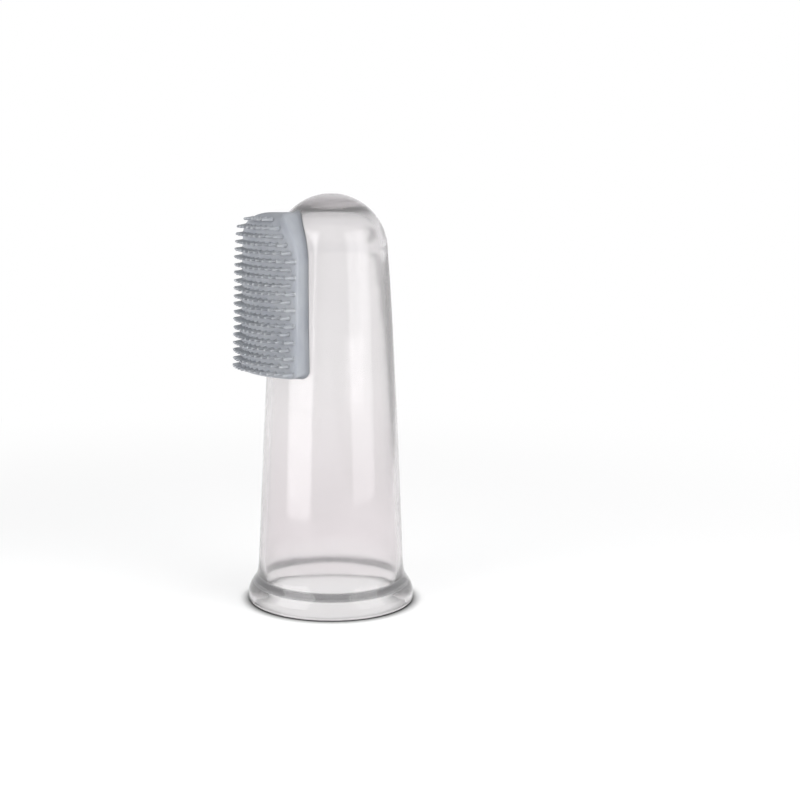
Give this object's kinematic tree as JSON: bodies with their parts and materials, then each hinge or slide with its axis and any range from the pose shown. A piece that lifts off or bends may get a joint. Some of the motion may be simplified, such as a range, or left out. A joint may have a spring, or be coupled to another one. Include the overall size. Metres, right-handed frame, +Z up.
{
  "type": "finger toothbrush",
  "caption": "Clear silicone finger sleeve with a closed round tip, an out-turned rim and a side pad of short bristles, for brushing a pet's teeth.",
  "frame": {"origin": "middle of the footprint on the plane that the rim stands on; the sleeve's own axis is parallel to Z and passes through x = 0, y = 1.08 mm", "axes": "+Z up, from the open rim to the closed tip; -Y is the way the bristles point; X = 0 is the mirror plane"},
  "size_m": [0.0234, 0.0254, 0.057],
  "materials": {
    "clear_silicone": "gloss",
    "frosted_silicone": "satin"
  },
  "bodies": {
    "sleeve": {"finger_sleeve": "clear_silicone", "rim_bead": "clear_silicone", "bristle_pad": "frosted_silicone"},
    "row_01": {"bristle_row_01": "frosted_silicone"},
    "row_02": {"bristle_row_02": "frosted_silicone"},
    "row_03": {"bristle_row_03": "frosted_silicone"},
    "row_04": {"bristle_row_04": "frosted_silicone"},
    "row_05": {"bristle_row_05": "frosted_silicone"},
    "row_06": {"bristle_row_06": "frosted_silicone"},
    "row_07": {"bristle_row_07": "frosted_silicone"},
    "row_08": {"bristle_row_08": "frosted_silicone"},
    "row_09": {"bristle_row_09": "frosted_silicone"},
    "row_10": {"bristle_row_10": "frosted_silicone"},
    "row_11": {"bristle_row_11": "frosted_silicone"},
    "row_12": {"bristle_row_12": "frosted_silicone"},
    "row_13": {"bristle_row_13": "frosted_silicone"},
    "row_14": {"bristle_row_14": "frosted_silicone"},
    "row_15": {"bristle_row_15": "frosted_silicone"},
    "row_16": {"bristle_row_16": "frosted_silicone"},
    "row_17": {"bristle_row_17": "frosted_silicone"},
    "row_18": {"bristle_row_18": "frosted_silicone"},
    "row_19": {"bristle_row_19": "frosted_silicone"},
    "row_20": {"bristle_row_20": "frosted_silicone"}
  },
  "joints": [
    {"name": "row_01_bend", "type": "hinge", "parent": "sleeve", "child": "row_01", "pos_m": [0, -0.0103, 0.03366], "axis": [1, 0, 0], "range_deg": [-20, 20], "stiffness_Nm_per_rad": 0.00048},
    {"name": "row_02_bend", "type": "hinge", "parent": "sleeve", "child": "row_02", "pos_m": [0, -0.01027, 0.03472], "axis": [1, 0, 0], "range_deg": [-20, 20], "stiffness_Nm_per_rad": 0.00044},
    {"name": "row_03_bend", "type": "hinge", "parent": "sleeve", "child": "row_03", "pos_m": [0, -0.01025, 0.03578], "axis": [1, 0, 0], "range_deg": [-20, 20], "stiffness_Nm_per_rad": 0.00048},
    {"name": "row_04_bend", "type": "hinge", "parent": "sleeve", "child": "row_04", "pos_m": [0, -0.01023, 0.03684], "axis": [1, 0, 0], "range_deg": [-20, 20], "stiffness_Nm_per_rad": 0.00044},
    {"name": "row_05_bend", "type": "hinge", "parent": "sleeve", "child": "row_05", "pos_m": [0, -0.0102, 0.0379], "axis": [1, 0, 0], "range_deg": [-20, 20], "stiffness_Nm_per_rad": 0.00048},
    {"name": "row_06_bend", "type": "hinge", "parent": "sleeve", "child": "row_06", "pos_m": [0, -0.01018, 0.03896], "axis": [1, 0, 0], "range_deg": [-20, 20], "stiffness_Nm_per_rad": 0.00044},
    {"name": "row_07_bend", "type": "hinge", "parent": "sleeve", "child": "row_07", "pos_m": [0, -0.01015, 0.04002], "axis": [1, 0, 0], "range_deg": [-20, 20], "stiffness_Nm_per_rad": 0.00048},
    {"name": "row_08_bend", "type": "hinge", "parent": "sleeve", "child": "row_08", "pos_m": [0, -0.01013, 0.04108], "axis": [1, 0, 0], "range_deg": [-20, 20], "stiffness_Nm_per_rad": 0.00044},
    {"name": "row_09_bend", "type": "hinge", "parent": "sleeve", "child": "row_09", "pos_m": [0, -0.0101, 0.04214], "axis": [1, 0, 0], "range_deg": [-20, 20], "stiffness_Nm_per_rad": 0.00048},
    {"name": "row_10_bend", "type": "hinge", "parent": "sleeve", "child": "row_10", "pos_m": [0, -0.01008, 0.0432], "axis": [1, 0, 0], "range_deg": [-20, 20], "stiffness_Nm_per_rad": 0.00044},
    {"name": "row_11_bend", "type": "hinge", "parent": "sleeve", "child": "row_11", "pos_m": [0, -0.01005, 0.04426], "axis": [1, 0, 0], "range_deg": [-20, 20], "stiffness_Nm_per_rad": 0.00048},
    {"name": "row_12_bend", "type": "hinge", "parent": "sleeve", "child": "row_12", "pos_m": [0, -0.01003, 0.04532], "axis": [1, 0, 0], "range_deg": [-20, 20], "stiffness_Nm_per_rad": 0.00044},
    {"name": "row_13_bend", "type": "hinge", "parent": "sleeve", "child": "row_13", "pos_m": [0, -0.01, 0.04638], "axis": [1, 0, 0], "range_deg": [-20, 20], "stiffness_Nm_per_rad": 0.00048},
    {"name": "row_14_bend", "type": "hinge", "parent": "sleeve", "child": "row_14", "pos_m": [0, -0.00998, 0.04744], "axis": [1, 0, 0], "range_deg": [-20, 20], "stiffness_Nm_per_rad": 0.00044},
    {"name": "row_15_bend", "type": "hinge", "parent": "sleeve", "child": "row_15", "pos_m": [0, -0.00996, 0.0485], "axis": [1, 0, 0], "range_deg": [-20, 20], "stiffness_Nm_per_rad": 0.00048},
    {"name": "row_16_bend", "type": "hinge", "parent": "sleeve", "child": "row_16", "pos_m": [0, -0.00997, 0.04956], "axis": [1, 0, 0], "range_deg": [-20, 20], "stiffness_Nm_per_rad": 0.00044},
    {"name": "row_17_bend", "type": "hinge", "parent": "sleeve", "child": "row_17", "pos_m": [0, -0.01003, 0.05062], "axis": [1, 0, 0], "range_deg": [-20, 20], "stiffness_Nm_per_rad": 0.0004},
    {"name": "row_18_bend", "type": "hinge", "parent": "sleeve", "child": "row_18", "pos_m": [0, -0.01014, 0.05168], "axis": [1, 0, 0], "range_deg": [-20, 20], "stiffness_Nm_per_rad": 0.00036},
    {"name": "row_19_bend", "type": "hinge", "parent": "sleeve", "child": "row_19", "pos_m": [0, -0.01024, 0.05274], "axis": [1, 0, 0], "range_deg": [-20, 20], "stiffness_Nm_per_rad": 0.00032},
    {"name": "row_20_bend", "type": "hinge", "parent": "sleeve", "child": "row_20", "pos_m": [0, -0.00999, 0.0538], "axis": [1, 0, 0], "range_deg": [-20, 20], "stiffness_Nm_per_rad": 0.00028}
  ]
}
